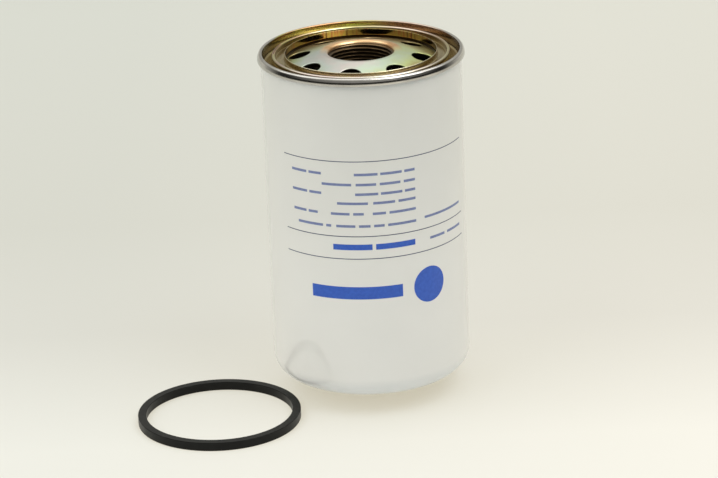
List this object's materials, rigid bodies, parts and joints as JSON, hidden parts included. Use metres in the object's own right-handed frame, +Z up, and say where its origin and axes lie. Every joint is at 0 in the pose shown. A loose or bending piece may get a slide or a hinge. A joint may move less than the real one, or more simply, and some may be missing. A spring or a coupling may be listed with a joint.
{
  "type": "spin-on filter",
  "caption": "Spin-on hydraulic filter: painted steel can with a rolled seam, domed thread plate with inlet holes, and its mounting gasket lying beside it.",
  "frame": {"origin": "middle of the wrench boss under the can, on the surface that it stands on", "axes": "+Z up the can's axis and out of its threaded mouth; the picture looks along +Y, with +X to the right"},
  "size_m": [0.2191, 0.1742, 0.2291],
  "materials": {
    "can_paint": "glossy cream paint",
    "lid_steel": "bright tinned steel",
    "plated_steel": "yellow passivated zinc plate",
    "inner_steel": "dark oiled steel",
    "gasket_rubber": "matt black rubber",
    "grommet_rubber": "matt black rubber",
    "compound": "dull red sealing compound",
    "adhesive": "cured adhesive",
    "support_mesh": "woven mesh",
    "medium": "fibrous medium"
  },
  "bodies": {
    "root": {"canister": "can_paint", "wrench_boss": "can_paint", "seaming_lid": "lid_steel", "seam_compound": "compound", "thread_plate": "plated_steel", "mounting_gasket": "gasket_rubber", "element_grommet": "grommet_rubber", "upper_end_cap": "inner_steel", "lower_end_cap": "inner_steel", "upper_potting": "adhesive", "lower_potting": "adhesive", "centre_tube": "inner_steel", "outer_mesh": "support_mesh", "filter_medium": "medium", "inner_mesh": "support_mesh", "leaf_spring": "inner_steel"}
  },
  "joints": []
}
